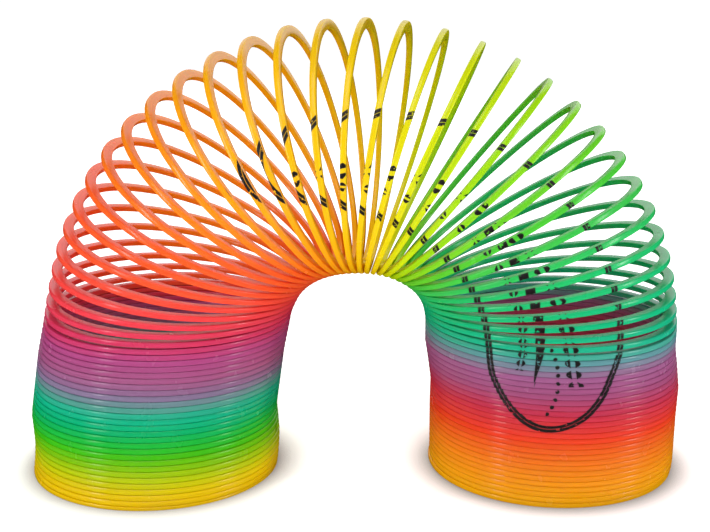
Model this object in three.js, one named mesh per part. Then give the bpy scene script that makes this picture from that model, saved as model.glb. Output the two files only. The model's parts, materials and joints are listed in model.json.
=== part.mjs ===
// A plastic spring coil toy: one flat strip wound into a close coil and bent over into an arch, so
// that it stands on its two ends. The turns of the arch touch at their inner edges and fan open
// outside, and the turns of the two legs lie flat on each other. +X runs from the left leg to the
// right leg, +Y goes away from the front, +Z is up, and the origin is at the middle of the base.
//
// A place along the strip is counted in turns from the top of the arch, positive towards the right
// foot. At a whole number the strip is on the outside of the arch. At a half it is on the inside,
// where one turn leans on the next: that line is the hinge on which two neighbouring turns open and
// close, so each turn of the arch is a piece of its own, cut there.
import * as THREE from "three";

const { clamp, smoothstep } = THREE.MathUtils;

// Driving dimensions, in millimetres and turns
const COIL_RADIUS = 37.5; // outside
const STRIP_WIDTH = 3.0; // from the inside of the coil to its outside
const STRIP_THICKNESS = 1.45; // along the coil
const PITCH = 1.7; // from turn to turn where they touch
const CROWN_TURN = -0.1; // the coil runs level here
const BEND_TURNS = 17.2; // on each side of the crown, these share the bend
const ARCH_SLIP = 0.9; // the most that a turn of the arch slides out past the one above it
const LEAN_SLIP = 0.28; // the same for each leaning turn of the left leg
const LEAN_TURNS = [-34, -14];
const SIDE_SLIP = 0.17; // how far each turn lies behind the one before it, counted from left to right
// Places where the loose stack of turns has shifted towards the right leg: the turn, and how far
const SHIFTS = [
  [-44.5, 0.6], [-42, 1.05], [-39, 1.25], [-36, 0.8], [-33, 0.25], [-23, -0.3], [-18, 0],
  [10, 0], [15, -0.9], [20.5, -0.9], [24, 0], [28, 0.85], [33, 0.65], [42.5, 0.65], [44.5, 0],
];
const FOOT_TURNS = [-44.5625, 44.4375]; // the ends of the strip, both at the back
const ARCH_TURNS = [-16, 15]; // the first and the last turn of the arch
const LEG_PIECES = 4; // colour bands of each leg
const TIP_THICKNESS = 0.4; // of the strip's end, under a foot
const CUT_GAP = 0.3; // between one piece and the next, along the strip
const STEPS_PER_TURN = 16;

const CORE_RADIUS = COIL_RADIUS - STRIP_WIDTH / 2; // of the strip's centre line
const STEP = 1 / STEPS_PER_TURN;
const HALF_CUT = CUT_GAP / (4 * Math.PI * CORE_RADIUS); // in turns

// Colours of the strip from the left foot to the right foot, evenly spaced over its length
const RAINBOW = [
  0xf0c400, 0xc8d000, 0x3cc83c, 0x14b48c, 0xa05aa0, 0xe63c6e, 0xf04646, 0xf57832, 0xfa9628,
  0xffbe14, 0xfade14, 0xb4dc1e, 0x50c846, 0x28c86e, 0x1ec48c, 0x8c6ea0, 0xdc3c6e, 0xf05028,
  0xf59614, 0xf0be14,
].map((hex) => new THREE.Color(hex));

// Where a turn lies in the bend: -1 in the left leg, 0 at the crown, 1 in the right leg.
function bendShare(turn) {
  return clamp((turn - CROWN_TURN) / BEND_TURNS, -1, 1);
}

// Direction from the inside of the arch to its outside, as an angle above +X: half a turn in the left
// leg, a quarter at the crown and none in the right leg.
function outwardAngle(turn) {
  return Math.PI * (1 - smoothstep(bendShare(turn), -1, 1));
}

// How far a turn lies outside the one before it, counted from left to right.
function slip(turn) {
  const leaning = turn > LEAN_TURNS[0] && turn < LEAN_TURNS[1];
  return ARCH_SLIP * Math.sin(Math.PI * bendShare(turn)) - (leaning ? LEAN_SLIP : 0);
}

const outward = (angle) => new THREE.Vector3(Math.cos(angle), 0, Math.sin(angle));
const onward = (angle) => new THREE.Vector3(Math.sin(angle), 0, -Math.cos(angle));

// The line on which the turns touch at their inner edges, as points one step of the strip apart.
const innerLine = [new THREE.Vector3()];
for (let turn = FOOT_TURNS[0] + STEP / 2; turn < FOOT_TURNS[1]; turn += STEP) {
  const angle = outwardAngle(turn);
  const next = innerLine.at(-1).clone();
  next.addScaledVector(onward(angle), PITCH * STEP);
  next.addScaledVector(outward(angle), slip(turn) * STEP);
  next.y += SIDE_SLIP * STEP;
  innerLine.push(next);
}

// How far a turn has shifted, between the places listed above.
function shift(turn) {
  const next = clamp(SHIFTS.findIndex(([at]) => at > turn), 1, SHIFTS.length - 1);
  const [[from, start], [to, end]] = SHIFTS.slice(next - 1, next + 1);
  return start + (end - start) * clamp((turn - from) / (to - from), 0, 1);
}

function innerPoint(turn) {
  const place = (turn - FOOT_TURNS[0]) / STEP;
  const index = clamp(Math.floor(place), 0, innerLine.length - 2);
  const point = new THREE.Vector3();
  point.lerpVectors(innerLine[index], innerLine[index + 1], place - index);
  point.x += shift(turn);
  return point;
}

// The coil is cut level under both feet, where the ends of the strip taper out.
const base = innerPoint(FOOT_TURNS[0]).z + STRIP_THICKNESS / 2 - TIP_THICKNESS;

// A corner of the strip's section: `across` is out from its centre line, `along` is down the coil.
function stripPoint(turn, across, along) {
  const angle = outwardAngle(turn);
  const swing = 2 * Math.PI * turn;
  const radius = CORE_RADIUS + across;
  const point = innerPoint(turn);
  point.addScaledVector(outward(angle), CORE_RADIUS + radius * Math.cos(swing));
  point.addScaledVector(onward(angle), along);
  point.y += radius * Math.sin(swing);
  point.z = Math.max(point.z, base);
  return point;
}

// The closed solid of the strip between two turns, in steps that line up from turn to turn.
function stripGeometry(from, to) {
  const turns = [from];
  for (let turn = Math.ceil(from / STEP) * STEP; turn < to - STEP / 4; turn += STEP)
    if (turn > from + STEP / 4) turns.push(turn);
  turns.push(to);

  const corners = [[-1, -1], [1, -1], [1, 1], [-1, 1]];
  const positions = [];
  for (const turn of turns)
    for (const [across, along] of corners) {
      const point = stripPoint(turn, (across * STRIP_WIDTH) / 2, (along * STRIP_THICKNESS) / 2);
      positions.push(point.x, point.y, point.z);
    }

  const last = positions.length / 3 - 4;
  const faces = [0, 2, 1, 0, 3, 2, last, last + 1, last + 2, last, last + 2, last + 3];
  for (let a = 0; a < last; a += 4)
    for (let side = 0; side < 4; side++) {
      const next = (side + 1) % 4;
      faces.push(a + side, a + 4 + next, a + 4 + side, a + side, a + next, a + 4 + next);
    }

  const geometry = new THREE.BufferGeometry();
  geometry.setAttribute("position", new THREE.Float32BufferAttribute(positions, 3));
  geometry.setIndex(faces);
  geometry.computeVertexNormals();
  return geometry;
}

function rainbow(turn) {
  const place = ((turn - FOOT_TURNS[0]) / (FOOT_TURNS[1] - FOOT_TURNS[0])) * (RAINBOW.length - 1);
  const index = clamp(Math.floor(place), 0, RAINBOW.length - 2);
  return RAINBOW[index].clone().lerp(RAINBOW[index + 1], place - index);
}

// A piece of the strip, placed where its middle touches the inner line.
function addPiece(group, name, from, to) {
  const middle = (from + to) / 2;
  const place = innerPoint(middle);
  const geometry = stripGeometry(from, to).translate(-place.x, -place.y, -place.z);
  const material = new THREE.MeshStandardMaterial({
    color: rainbow(middle),
    roughness: 0.25,
    metalness: 0,
  });
  const piece = new THREE.Mesh(geometry, material);
  piece.name = name;
  piece.position.copy(place);
  group.add(piece);
}

// A leg's colour bands, each of whole turns except at the foot.
function makeLeg(name, from, to) {
  const leg = new THREE.Group();
  const length = (to - from) / LEG_PIECES;
  for (let index = 0; index < LEG_PIECES; index++) {
    const start = index === 0 ? from : Math.round(from + index * length - 0.5) + 0.5 + HALF_CUT;
    const end =
      index === LEG_PIECES - 1 ? to : Math.round(from + (index + 1) * length - 0.5) + 0.5 - HALF_CUT;
    addPiece(leg, `${name}_${index + 1}`, start, end);
  }
  return leg;
}

function makeArch() {
  const arch = new THREE.Group();
  for (let turn = ARCH_TURNS[0]; turn <= ARCH_TURNS[1]; turn++) {
    const number = String(turn - ARCH_TURNS[0] + 1).padStart(2, "0");
    addPiece(arch, `arch_turn_${number}`, turn - 0.5 + HALF_CUT, turn + 0.5 - HALF_CUT);
  }
  return arch;
}

const toy = new THREE.Group();
toy.add(makeLeg("left_leg_coils", FOOT_TURNS[0], ARCH_TURNS[0] - 0.5 - HALF_CUT));
toy.add(makeArch());
toy.add(makeLeg("right_leg_coils", ARCH_TURNS[1] + 0.5 + HALF_CUT, FOOT_TURNS[1]));

const extent = new THREE.Box3().setFromObject(toy, true);
const middle = extent.getCenter(new THREE.Vector3());
toy.position.set(-middle.x, -middle.y, -extent.min.z);

export default toy;
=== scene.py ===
"""A plastic spring coil toy in rainbow colours, standing as an arch on its two ends.

The strip is built again, finely and with rounded edges, along the same line as the CAD solids, one
piece for each of them. A place along the strip is counted in turns from the top of the arch, positive
towards the right foot. At a whole number the strip is on the outside of the arch, a quarter of a turn
before that it is at the front, and at a half it is on the inside, where the turns touch.
The coil's sizes are in millimetres until they become points of a mesh. All else is in metres.
"""

import json
import math

import bpy
import numpy as np
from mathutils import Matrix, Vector

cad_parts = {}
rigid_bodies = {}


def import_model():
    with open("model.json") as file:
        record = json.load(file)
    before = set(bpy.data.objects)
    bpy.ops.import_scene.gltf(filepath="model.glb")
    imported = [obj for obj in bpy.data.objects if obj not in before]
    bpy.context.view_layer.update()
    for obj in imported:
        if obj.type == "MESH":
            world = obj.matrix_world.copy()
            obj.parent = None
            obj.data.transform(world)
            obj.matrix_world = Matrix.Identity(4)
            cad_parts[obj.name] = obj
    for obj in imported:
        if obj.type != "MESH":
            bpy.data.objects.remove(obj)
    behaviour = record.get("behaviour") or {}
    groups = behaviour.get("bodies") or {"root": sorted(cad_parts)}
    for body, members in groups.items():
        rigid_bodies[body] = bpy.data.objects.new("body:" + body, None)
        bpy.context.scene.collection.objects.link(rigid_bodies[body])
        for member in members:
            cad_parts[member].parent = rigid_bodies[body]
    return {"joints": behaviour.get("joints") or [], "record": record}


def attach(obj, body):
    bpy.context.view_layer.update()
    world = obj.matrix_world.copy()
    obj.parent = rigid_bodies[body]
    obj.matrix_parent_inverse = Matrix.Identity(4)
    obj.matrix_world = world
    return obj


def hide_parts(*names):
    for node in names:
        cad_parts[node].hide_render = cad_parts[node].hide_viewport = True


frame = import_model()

MM = 0.001

# The coil, with the CAD model's dimensions, but for a strip that is 0.1 mm fuller on each side
COIL_RADIUS = 37.6  # outside
STRIP_WIDTH = 3.2  # from the inside of the coil to its outside
STRIP_THICKNESS = 1.66  # along the coil
THINNER = [  # places where the strip is thinner, so that neighbours clear each other when closed
    (-19.5, 1),
    (-18, 0.93),
    (-15.5, 0.93),
    (-11, 1),
    (8.5, 1),
    (13.5, 0.93),
    (17, 0.93),
    (18.5, 1),
]
PITCH = 1.7  # from turn to turn where they touch
CROWN_TURN = -0.1  # the coil runs level here
BEND_TURNS = 17.2  # on each side of the crown, these share the bend
ARCH_SLIP = 0.9  # the most that a turn of the arch slides out past the one above it
LEAN_SLIP = 0.28  # the same for each leaning turn of the left leg
LEAN_TURNS = (-34, -14)
SIDE_SLIP = 0.17  # how far each turn lies behind the one before it, counted from left to right
SHIFTS = [  # places where the loose stack has shifted towards the right leg: the turn, and how far
    (-44.5, 0.6),
    (-42, 1.05),
    (-39, 1.25),
    (-36, 0.8),
    (-33, 0.25),
    (-23, -0.3),
    (-18, 0),
    (10, 0),
    (15, -0.9),
    (20.5, -0.9),
    (24, 0),
    (28, 0.85),
    (33, 0.65),
    (42.5, 0.65),
    (44.5, 0),
]
FOOT_TURNS = (-44.5625, 44.4375)  # the ends of the strip, both at the back
ARCH_TURNS = (-16, 15)  # the first and the last turn of the arch
LEG_PIECES = 4  # colour bands of each leg
LINE_STEP = 1 / 16  # turns between the points of the inner line
CORE_RADIUS = COIL_RADIUS - STRIP_WIDTH / 2  # of the strip's centre line

# The visible strip
EDGE_RADIUS = 0.25  # of the strip's rounded corners
CORNER_POINTS = 4  # on each rounded corner
FACE_BULGE = 0.13  # of the strip's outer and inner faces
FACE_POINTS = (0.3, 0, -0.3)  # down each face, as a share of half its height
STEPS_PER_TURN = 72
JOIN_GAP = 0.01  # between one piece and the next, along the strip

# Colours of the strip, each with the turn it is at
RAINBOW = [
    (-44.6, "f0bc00"),
    (-42, "e2c002"),
    (-39.5, "b4c304"),
    (-37, "74bc06"),
    (-35, "34b812"),
    (-33, "12b442"),
    (-31, "02ac6e"),
    (-28.5, "0fad88"),
    (-26.5, "638c8e"),
    (-25, "866b8f"),
    (-22.5, "a05682"),
    (-19, "ac4680"),
    (-16.5, "cc3460"),
    (-13.5, "ee4242"),
    (-11.5, "f8542c"),
    (-9, "fa6020"),
    (-6.5, "fa8c12"),
    (-4, "f8ac08"),
    (-1.5, "f2be08"),
    (0.5, "e8c808"),
    (3, "ccd808"),
    (5, "98d20c"),
    (7.5, "50c630"),
    (10.5, "20ba66"),
    (14, "0ab47c"),
    (16, "1cac86"),
    (18, "608f98"),
    (20.5, "9a5a88"),
    (23.5, "9e4e7a"),
    (27, "be304a"),
    (31.5, "e43a1c"),
    (44.5, "f2ac00"),
]
COLOUR_DRIFT = 0.8  # turns by which they wander
DRIFT_SCALE = 45.0  # of the noise, per metre

# The colours aren't quite level round the coil: on its inner side and at its back they run ahead of
# the front, or behind it if less than nothing, by these numbers of turns at a place, and by less up
# to so many turns away
INNER_LEADS = [(-3, 15, -3.5)]  # place, reach, lead
BACK_LEADS = [(-14.5, 10, 5.5), (6.5, 6, 3.5), (21, 6, 4.5)]

# The plastic
STREAK_SCALES = (6.0, 2.2, 2.2)  # of the streaks: per turn along, per millimetre across and through
STREAK_DETAIL = 3.0
STREAK_RANGE = (0.3, 0.7)  # noise that gives the whole range of tones
TONE_RANGE = (0.94, 1.05)
BUMP_STRENGTH = 0.15
BUMP_DISTANCE = 0.04 * MM
SMUDGE_SCALE = 160.0  # per metre
SMUDGE_DETAIL = 3.0
SMUDGE_RANGE = (0.3, 0.75)  # noise that gives the whole range of roughness
ROUGHNESS_RANGE = (0.20, 0.28)
PLASTIC = {
    "IOR": 1.46,
    "Subsurface Weight": 0.5,
    "Subsurface Scale": 2 * MM,
    "Subsurface Radius": (1.0, 1.0, 1.0),
}

# The print on the front of the closed coil: an oval of two thin lines round a generic pattern, as
# distances along and round the coil from its middle
PRINT_TURN = 12.67  # of its middle
PRINT_OFFSET = 0.7  # of its middle, towards the outside of the arch
PRINT_LEAN = 0.077  # slope of its long axis
PRINT_BOW = 0.00126  # change of that slope per millimetre
PRINT_LENGTH = 57.3  # along the coil
PRINT_WIDTH = 38.5  # round the coil
LINE_WIDTH = 0.98
LINE_SPACING = 1.09  # from the middle of one line of the oval to the middle of the other
CHAINS = [  # of leaves: start, end, middle, slant, half width, length of a leaf, width of its vein
    (-26.0, 15.6, 3.1, 0.25, 2.2, 3.4, 1.3),
    (-22.8, 11.4, -8.4, -0.07, 1.3, 2.6, 0.6),
]
WEDGE = (-11.0, 3.0, 16.2, -3.7, -0.06, 1.4)  # start, narrowing, point, middle, slant, half width
# Centre along and round, radius, where it starts, radius of a dot, angle from dot to dot
DOTTED_ARC = (14.6, -15.3, 17.2, 14.0, 0.6, 0.145)
INK = (0.012, 0.010, 0.010, 1.0)
INK_EDGE = 0.12  # softness of its edge
INK_DEPTH = (1.0, 1.2)  # it fades in between these distances out from the strip's middle
INK_ROUGHNESS = 0.2  # more than the plastic's
WEAR_SCALE = 900.0  # of the small breaks in it, per metre
WEAR_RANGE = (0.30, 0.38)  # noise that leaves bare plastic, and full ink
FRONT = 0.75  # where the front lies, as a share of a turn
SHORTEST = 0.01  # least length of a flat vector, as some are divided by

# The view, about a point near the middle of the coil
AIM = Vector((0.46, 0, 62.46)) * MM
CAMERA_AZIMUTH = 6.13  # degrees, towards the right leg
CAMERA_ELEVATION = 14.29
CAMERA_DISTANCE = 404.4 * MM
LENS = 67.9
CLIP_START = 0.01

# The floor
FLOOR_SIZE = 40
FLOOR_GLOW = 0.72  # the floor's own light, which keeps it white in the picture
FLOOR_ROUGHNESS = 0.9
FLOOR_SPECULAR = 0.1
MOTTLE_SCALE = 3.0  # per metre
MOTTLE_RANGE = (0.2, 0.8)  # noise that gives the whole range of tones
FLOOR_TONES = (0.90, 0.92)
SHADE_REACH = 11 * MM  # of the soft shade painted into the floor's colour and glow round the feet
SHADE_SAMPLES = 16
SHADE_OPENNESS = (0.5, 1.0)  # share of directions that are clear, in the darkest painted shade and in none
SHADE_TONES = (0.3, 1.0)

# The lights
WORLD_STRENGTH = 0.46
SOFTBOXES = [  # name, azimuth, elevation, distance, width and height, power
    ("top_softbox", 0, 60, 0.9, (0.6, 0.6), 2.3),
    ("left_softbox", -45, 15, 0.8, (0.08, 0.5), 1.6),
    ("right_softbox", 76, 15, 0.8, (0.08, 0.5), 1.6),
    ("back_softbox", 180, 28, 0.9, (1.2, 0.8), 2.8),
]

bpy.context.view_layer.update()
record = frame["record"]


def bend_share(turn):
    """Where a turn lies in the bend: -1 in the left leg, 0 at the crown, 1 in the right leg."""
    return np.clip((turn - CROWN_TURN) / BEND_TURNS, -1, 1)


def directions(turn):
    """The ways out of the arch and on down the coil, as arrays of vectors."""
    share = (bend_share(turn) + 1) / 2
    angle = math.pi * (1 - share * share * (3 - 2 * share))
    level = np.zeros_like(angle)
    outward = np.stack([np.cos(angle), level, np.sin(angle)], axis=-1)
    onward = np.stack([np.sin(angle), level, -np.cos(angle)], axis=-1)
    return outward, onward


def inner_line():
    """The line on which the turns touch: its turns and its points."""
    count = math.ceil((FOOT_TURNS[1] - FOOT_TURNS[0]) / LINE_STEP)
    turns = FOOT_TURNS[0] + LINE_STEP * np.arange(count + 1)
    middles = turns[:-1] + LINE_STEP / 2
    outward, onward = directions(middles)
    leaning = (middles > LEAN_TURNS[0]) & (middles < LEAN_TURNS[1])
    slip = ARCH_SLIP * np.sin(math.pi * bend_share(middles)) - LEAN_SLIP * leaning
    steps = onward * PITCH + outward * slip[:, None]
    steps[:, 1] += SIDE_SLIP
    points = np.vstack([np.zeros(3), np.cumsum(steps * LINE_STEP, axis=0)])
    points[:, 0] += np.interp(turns, *zip(*SHIFTS))
    return turns, points


def thickness_share(turn, swing):
    """The strip's thickness as a share of its most. Turns that fan open are thinner at their inner
    edges, where they touch."""
    share = (bend_share(turn) + 1) / 2
    fan = math.pi * 3 * share * (1 - share) / BEND_TURNS  # the arch's bend in one turn
    inner_side = np.maximum(-np.cos(swing), 0)
    return np.interp(turn, *zip(*THINNER)) - fan * inner_side * STRIP_WIDTH / 2 / STRIP_THICKNESS


def on_line(turn, line):
    """Points of the inner line at an array of turns."""
    turns, points = line
    return np.stack([np.interp(turn, turns, points[:, axis]) for axis in range(3)], axis=-1)


def placed_line():
    """The inner line in the frame, where the record's hinges lie on it."""
    turns, points = inner_line()
    first_hinge = next(j for j in frame["joints"] if j["parent"] == "left_leg")
    first_cut = on_line(np.array([ARCH_TURNS[0] - 0.5]), (turns, points))[0]
    return turns, points + np.array(first_hinge["pos_m"]) / MM - first_cut


def strip_section():
    """Corners of the strip's rounded section, as distances out from its middle and down the coil."""
    points = []
    for quarter, (side, level) in enumerate([(1, 1), (-1, 1), (-1, -1), (1, -1)]):
        for step in range(CORNER_POINTS):
            angle = math.pi / 2 * (quarter + step / (CORNER_POINTS - 1))
            across = side * (STRIP_WIDTH / 2 - EDGE_RADIUS) + EDGE_RADIUS * math.cos(angle)
            along = level * (STRIP_THICKNESS / 2 - EDGE_RADIUS) + EDGE_RADIUS * math.sin(angle)
            points.append((across, along))
        if side != level:
            for share in FACE_POINTS:
                points.append((side * STRIP_WIDTH / 2, -side * share * STRIP_THICKNESS / 2))
    section = np.array(points)
    height = 2 * section[:, 1] / STRIP_THICKNESS
    section[:, 0] *= 1 - FACE_BULGE / (STRIP_WIDTH / 2) * height**2
    return section


def strip_piece(name, start, end, line, material):
    """A closed length of the strip between two turns."""
    section = strip_section()
    corners = len(section)
    count = math.ceil((end - start) * STEPS_PER_TURN) + 1
    turns = np.linspace(start, end, count)
    turn = np.repeat(turns, corners)
    across = np.tile(section[:, 0], count)
    swing = 2 * math.pi * turn
    along = np.tile(section[:, 1], count) * thickness_share(turn, swing)

    outward, onward = directions(turn)
    radius = CORE_RADIUS + across
    points = on_line(turn, line)
    points += outward * (CORE_RADIUS + radius * np.cos(swing))[:, None]
    points += onward * along[:, None]
    points[:, 1] += radius * np.sin(swing)
    points[:, 2] = np.maximum(points[:, 2], 0)

    ring = np.arange(corners)
    following = np.roll(ring, -1)
    first = corners * np.arange(count - 1)[:, None]
    sides = np.stack(
        [first + ring, first + following, first + corners + following, first + corners + ring],
        axis=-1,
    ).reshape(-1, 4)
    faces = sides.tolist()
    faces.append(ring[::-1].tolist())
    faces.append((ring + corners * (count - 1)).tolist())

    mesh = bpy.data.meshes.new(name)
    mesh.from_pydata((points * MM).tolist(), [], faces)
    mesh.polygons.foreach_set("use_smooth", [True] * len(sides) + [False] * 2)
    strip = mesh.attributes.new("strip", "FLOAT_VECTOR", "POINT")
    strip.data.foreach_set("vector", np.stack([turn, across, along], axis=-1).ravel())
    mesh.materials.append(material)
    piece = bpy.data.objects.new(name, mesh)
    bpy.context.scene.collection.objects.link(piece)
    return piece


class Graph:
    """Short calls that add nodes to a material and link them."""

    def __init__(self, material):
        material.use_nodes = True
        self.tree = material.node_tree
        self.shader = self.tree.nodes["Principled BSDF"]

    def node(self, kind, inputs=(), **settings):
        made = self.tree.nodes.new(kind)
        for key, value in settings.items():
            setattr(made, key, value)
        for key, value in dict(inputs).items():
            self.set(made.inputs[key], value)
        return made

    def set(self, socket, value):
        if isinstance(value, bpy.types.NodeSocket):
            self.tree.links.new(value, socket)
        else:
            socket.default_value = value

    def math(self, operation, *values):
        made = self.node("ShaderNodeMath", operation=operation)
        for socket, value in zip(made.inputs, values):
            self.set(socket, value)
        return made.outputs[0]

    def length(self, x, y):
        """Length of a flat vector, and no less than the shortest."""
        squares = self.math("ADD", self.math("MULTIPLY", x, x), self.math("MULTIPLY", y, y))
        return self.math("MAXIMUM", self.math("SQRT", squares), SHORTEST)

    def map(self, value, low, high, to_low=0.0, to_high=1.0, smooth=True):
        """value carried from one range to another, and held at its ends."""
        made = self.node(
            "ShaderNodeMapRange",
            {"Value": value, "From Min": low, "From Max": high, "To Min": to_low, "To Max": to_high},
            interpolation_type="SMOOTHSTEP" if smooth else "LINEAR",
        )
        return made.outputs["Result"]

    def noise(self, vector, scale, detail=2.0):
        made = self.node("ShaderNodeTexNoise", {"Vector": vector, "Scale": scale, "Detail": detail})
        return made.outputs["Fac"]

    def mix(self, factor, a, b):
        made = self.node("ShaderNodeMix", data_type="RGBA")
        for socket, value in zip((made.inputs[0], made.inputs[6], made.inputs[7]), (factor, a, b)):
            self.set(socket, value)
        return made.outputs[2]


def linear(hex_colour):
    """An sRGB colour such as "f0c400" in the linear values that nodes use."""
    values = [int(hex_colour[i : i + 2], 16) / 255 for i in (0, 2, 4)]
    return [v / 12.92 if v <= 0.04045 else ((v + 0.055) / 1.055) ** 2.4 for v in values] + [1.0]


def inside(graph, distance):
    """1 where a distance in millimetres is negative, with an edge as soft as printing's."""
    return graph.map(distance, INK_EDGE, -INK_EDGE)


def oval_lines(graph, axial, around):
    """The two lines of the oval, by the distance from a line midway between them."""
    u = graph.math("DIVIDE", axial, PRINT_LENGTH / 2)
    v = graph.math("DIVIDE", around, PRINT_WIDTH / 2)
    size = graph.math("ADD", graph.math("MULTIPLY", u, u), graph.math("MULTIPLY", v, v))
    slope_u = graph.math("DIVIDE", u, PRINT_LENGTH / 4)
    slope_v = graph.math("DIVIDE", v, PRINT_WIDTH / 4)
    slope = graph.length(slope_u, slope_v)
    distance = graph.math("DIVIDE", graph.math("SUBTRACT", size, 1.0), slope)
    from_middle = graph.math("ABSOLUTE", distance)
    from_line = graph.math("ABSOLUTE", graph.math("SUBTRACT", from_middle, LINE_SPACING / 2))
    return inside(graph, graph.math("SUBTRACT", from_line, LINE_WIDTH / 2))


def slanted(graph, axial, around, middle, slant):
    """The distance round the coil from a slanting line."""
    return graph.math("SUBTRACT", graph.math("MULTIPLY_ADD", axial, -slant, around), middle)


def leaf_chain(graph, axial, around, chain):
    """Solid pointed leaves end to end, each split by a vein."""
    start, end, middle, slant, half_width, length, vein = chain
    off_middle = graph.math("ABSOLUTE", slanted(graph, axial, around, middle, slant))
    along = graph.math("SINE", graph.math("MULTIPLY", axial, math.pi / length))
    edge = graph.math("MULTIPLY", graph.math("ABSOLUTE", along), half_width)
    leaf = inside(graph, graph.math("SUBTRACT", off_middle, edge))
    leaf = graph.math("MULTIPLY", leaf, inside(graph, graph.math("SUBTRACT", vein / 2, off_middle)))
    off_span = graph.math("ABSOLUTE", graph.math("SUBTRACT", axial, (start + end) / 2))
    in_span = inside(graph, graph.math("SUBTRACT", off_span, (end - start) / 2))
    return graph.math("MULTIPLY", leaf, in_span)


def wedge(graph, axial, around):
    """A solid bar that narrows to a point."""
    start, narrowing, point, middle, slant, half_width = WEDGE
    taper = graph.map(axial, narrowing, point, half_width, 0.0, smooth=False)
    off_middle = graph.math("ABSOLUTE", slanted(graph, axial, around, middle, slant))
    tapered = inside(graph, graph.math("SUBTRACT", off_middle, taper))
    before = inside(graph, graph.math("SUBTRACT", start, axial))
    beyond = inside(graph, graph.math("SUBTRACT", axial, point))
    return graph.math("MULTIPLY", tapered, graph.math("MULTIPLY", before, beyond))


def dotted_arc(graph, axial, around):
    """Round dots along part of a circle."""
    middle_axial, middle_around, radius, from_around, dot_radius, dot_angle = DOTTED_ARC
    x = graph.math("SUBTRACT", axial, middle_axial)
    y = graph.math("SUBTRACT", around, middle_around)
    off_arc = graph.math("SUBTRACT", graph.length(x, y), radius)
    angle = graph.math("ARCTAN2", x, y)
    off_dot = graph.math("MULTIPLY", graph.math("PINGPONG", angle, dot_angle / 2), radius)
    dots = inside(graph, graph.math("SUBTRACT", graph.length(off_arc, off_dot), dot_radius))
    return graph.math("MULTIPLY", dots, inside(graph, graph.math("SUBTRACT", from_around, y)))


def print_mask(graph, turn, across, along):
    """Where the ink is, on the outside of the coil."""
    axial = graph.math("MULTIPLY_ADD", turn, PITCH, -PRINT_TURN * PITCH)
    axial = graph.math("ADD", axial, along)
    share = graph.math("SUBTRACT", graph.math("FRACT", turn), FRONT)
    around = graph.math("MULTIPLY_ADD", share, 2 * math.pi * COIL_RADIUS, -PRINT_OFFSET)
    lean = graph.math("MULTIPLY_ADD", axial, PRINT_BOW, PRINT_LEAN)
    around = graph.math("MULTIPLY_ADD", axial, lean, around)
    ink = oval_lines(graph, axial, around)
    for chain in CHAINS:
        ink = graph.math("MAXIMUM", ink, leaf_chain(graph, axial, around, chain))
    ink = graph.math("MAXIMUM", ink, wedge(graph, axial, around))
    ink = graph.math("MAXIMUM", ink, dotted_arc(graph, axial, around))
    return graph.math("MULTIPLY", ink, graph.map(across, *INK_DEPTH))


def lead(graph, turn, side, leads):
    """How far the colours run ahead on one side of the coil, in turns."""
    total = 0.0
    for place, reach, turns in leads:
        away = graph.math("ABSOLUTE", graph.math("SUBTRACT", turn, place))
        total = graph.math("ADD", graph.map(away, 0.0, reach, turns, 0.0), total)
    return graph.math("MULTIPLY", total, graph.math("MAXIMUM", side, 0.0))


def rainbow_plastic():
    """Glossy moulded plastic, coloured along the strip and printed in black on its front."""
    material = bpy.data.materials.new("rainbow_plastic")
    graph = Graph(material)
    strip = graph.node("ShaderNodeAttribute", attribute_name="strip").outputs["Vector"]
    turn, across, along = graph.node("ShaderNodeSeparateXYZ", {"Vector": strip}).outputs
    place = graph.node("ShaderNodeTexCoord").outputs["Object"]

    # Colour, which wanders a little
    swing = graph.math("MULTIPLY", turn, 2 * math.pi)
    inner_side = graph.math("MULTIPLY", graph.math("COSINE", swing), -1.0)
    colour_turn = graph.math("ADD", turn, lead(graph, turn, inner_side, INNER_LEADS))
    back = graph.math("SINE", swing)
    colour_turn = graph.math("ADD", colour_turn, lead(graph, turn, back, BACK_LEADS))
    drift = graph.math("SUBTRACT", graph.noise(place, DRIFT_SCALE), 0.5)
    colour_turn = graph.math("MULTIPLY_ADD", drift, COLOUR_DRIFT, colour_turn)
    length = RAINBOW[-1][0] - RAINBOW[0][0]
    factor = graph.math("MULTIPLY_ADD", colour_turn, 1 / length, -RAINBOW[0][0] / length)
    ramp = graph.node("ShaderNodeValToRGB", {"Fac": factor})
    stops = ramp.color_ramp.elements
    while len(stops) < len(RAINBOW):
        stops.new(0.5)
    for stop, (at, colour) in zip(stops, RAINBOW):
        stop.position = (at - RAINBOW[0][0]) / length
        stop.color = linear(colour)

    # Fine streaks along the strip from moulding, and smudges of handling
    stretched = graph.node(
        "ShaderNodeVectorMath", {0: strip, 1: STREAK_SCALES}, operation="MULTIPLY"
    )
    streaks = graph.noise(stretched.outputs[0], 1.0, STREAK_DETAIL)
    smudges = graph.noise(place, SMUDGE_SCALE, SMUDGE_DETAIL)

    ink = print_mask(graph, turn, across, along)
    worn = graph.map(graph.noise(place, WEAR_SCALE), *WEAR_RANGE)
    ink = graph.math("MULTIPLY", ink, worn)
    tone = graph.map(streaks, *STREAK_RANGE, *TONE_RANGE)
    toned = graph.node("ShaderNodeHueSaturation", {"Color": ramp.outputs["Color"], "Value": tone})
    plastic = toned.outputs["Color"]
    graph.set(graph.shader.inputs["Base Color"], graph.mix(ink, plastic, INK))

    gloss = graph.map(smudges, *SMUDGE_RANGE, *ROUGHNESS_RANGE)
    roughness = graph.math("MULTIPLY_ADD", ink, INK_ROUGHNESS, gloss)
    graph.set(graph.shader.inputs["Roughness"], roughness)
    bump = graph.node(
        "ShaderNodeBump",
        {"Height": streaks, "Strength": BUMP_STRENGTH, "Distance": BUMP_DISTANCE},
    )
    graph.set(graph.shader.inputs["Normal"], bump.outputs["Normal"])
    for name, value in PLASTIC.items():
        graph.set(graph.shader.inputs[name], value)
    return material


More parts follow.
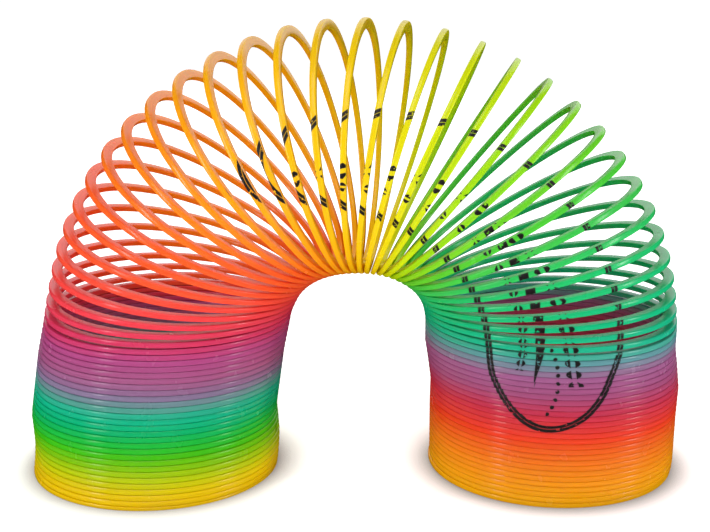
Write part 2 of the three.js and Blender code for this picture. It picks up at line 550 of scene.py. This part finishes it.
def piece_turns():
    """The CAD node that each piece of the strip stands for, and the turns it runs between."""
    first_cut = ARCH_TURNS[0] - 0.5
    last_cut = ARCH_TURNS[1] + 0.5
    spans = {}
    for leg, start, end in (
        ("left_leg_coils", FOOT_TURNS[0], first_cut),
        ("right_leg_coils", last_cut, FOOT_TURNS[1]),
    ):
        length = (end - start) / LEG_PIECES
        cuts = [math.floor(start + index * length) + 0.5 for index in range(1, LEG_PIECES)]
        for index, (a, b) in enumerate(zip([start, *cuts], [*cuts, end])):
            spans[f"{leg}_{index + 1}"] = (a, b)
    for turn in range(ARCH_TURNS[0], ARCH_TURNS[1] + 1):
        spans[f"arch_turn_{turn - ARCH_TURNS[0] + 1:02d}"] = (turn - 0.5, turn + 0.5)
    return spans


def build_coil():
    """All pieces of the strip, each riding the body of the CAD node it stands for."""
    material = rainbow_plastic()
    line = placed_line()
    half_gap = JOIN_GAP / (4 * math.pi * CORE_RADIUS)  # in turns
    bodies = record["behaviour"]["bodies"]
    body_of = {node: body for body, nodes in bodies.items() for node in nodes}
    for node, (start, end) in piece_turns().items():
        name = node.replace("coils", "band").replace("arch_turn", "strip_turn")
        piece = strip_piece(name, start + half_gap, end - half_gap, line, material)
        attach(piece, body_of[node])
        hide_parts(node)


def build_floor():
    """A plain white floor, lit evenly, with a soft shade painted into its colour and glow close to
    whatever stands on it.
    """
    material = bpy.data.materials.new("white_floor")
    graph = Graph(material)
    place = graph.node("ShaderNodeTexCoord").outputs["Object"]
    mottle = graph.map(graph.noise(place, MOTTLE_SCALE), *MOTTLE_RANGE, *FLOOR_TONES)
    # Painted shade: the floor's colour and glow are darkened where ambient occlusion finds something
    # near, as a contact shadow round the feet
    openness = graph.node(
        "ShaderNodeAmbientOcclusion", {"Distance": SHADE_REACH}, samples=SHADE_SAMPLES
    )
    painted_shade = graph.map(openness.outputs["AO"], *SHADE_OPENNESS, *SHADE_TONES, smooth=False)
    value = graph.math("MULTIPLY", mottle, painted_shade)
    colour = graph.node("ShaderNodeCombineColor", {"Red": value, "Green": value, "Blue": value})
    graph.set(graph.shader.inputs["Base Color"], colour.outputs["Color"])
    graph.set(graph.shader.inputs["Emission Color"], colour.outputs["Color"])
    graph.shader.inputs["Emission Strength"].default_value = FLOOR_GLOW
    graph.shader.inputs["Roughness"].default_value = FLOOR_ROUGHNESS
    graph.shader.inputs["Specular IOR Level"].default_value = FLOOR_SPECULAR

    bpy.ops.mesh.primitive_plane_add(size=FLOOR_SIZE)
    floor = bpy.context.object
    floor.name = "floor"
    floor.data.materials.append(material)
    floor.visible_glossy = False


def add_softbox(name, azimuth, elevation, distance, size, power):
    """An area light facing the coil. Azimuth 0 is at the front and 90 at the right."""
    light = bpy.data.lights.new(name, "AREA")
    light.shape = "RECTANGLE"
    light.size, light.size_y = size
    light.energy = power
    softbox = bpy.data.objects.new(name, light)
    softbox.visible_camera = False
    bpy.context.scene.collection.objects.link(softbox)
    place_around(softbox, azimuth, elevation, distance)


def place_around(thing, azimuth, elevation, distance):
    """Puts a light or the camera at a place round the coil, facing it."""
    a, e = math.radians(azimuth), math.radians(elevation)
    back = Vector((math.sin(a) * math.cos(e), -math.cos(a) * math.cos(e), math.sin(e)))
    thing.location = AIM + back * distance
    thing.rotation_euler = (-back).to_track_quat("-Z", "Y").to_euler()


def build_studio():
    """An even white surround that isn't mirrored in the plastic, and four softboxes that are."""
    world = bpy.data.worlds.new("studio")
    world.use_nodes = True
    background = world.node_tree.nodes["Background"]
    background.inputs["Color"].default_value = (1.0, 1.0, 1.0, 1.0)
    background.inputs["Strength"].default_value = WORLD_STRENGTH
    world.cycles_visibility.glossy = False
    bpy.context.scene.world = world
    bpy.context.scene.view_settings.view_transform = "Standard"

    for softbox in SOFTBOXES:
        add_softbox(*softbox)


def add_camera():
    data = bpy.data.cameras.new("camera")
    data.lens = LENS
    data.clip_start = CLIP_START
    camera = bpy.data.objects.new("camera", data)
    bpy.context.scene.collection.objects.link(camera)
    place_around(camera, CAMERA_AZIMUTH, CAMERA_ELEVATION, CAMERA_DISTANCE)
    bpy.context.scene.camera = camera


add_camera()
build_coil()
build_floor()
build_studio()
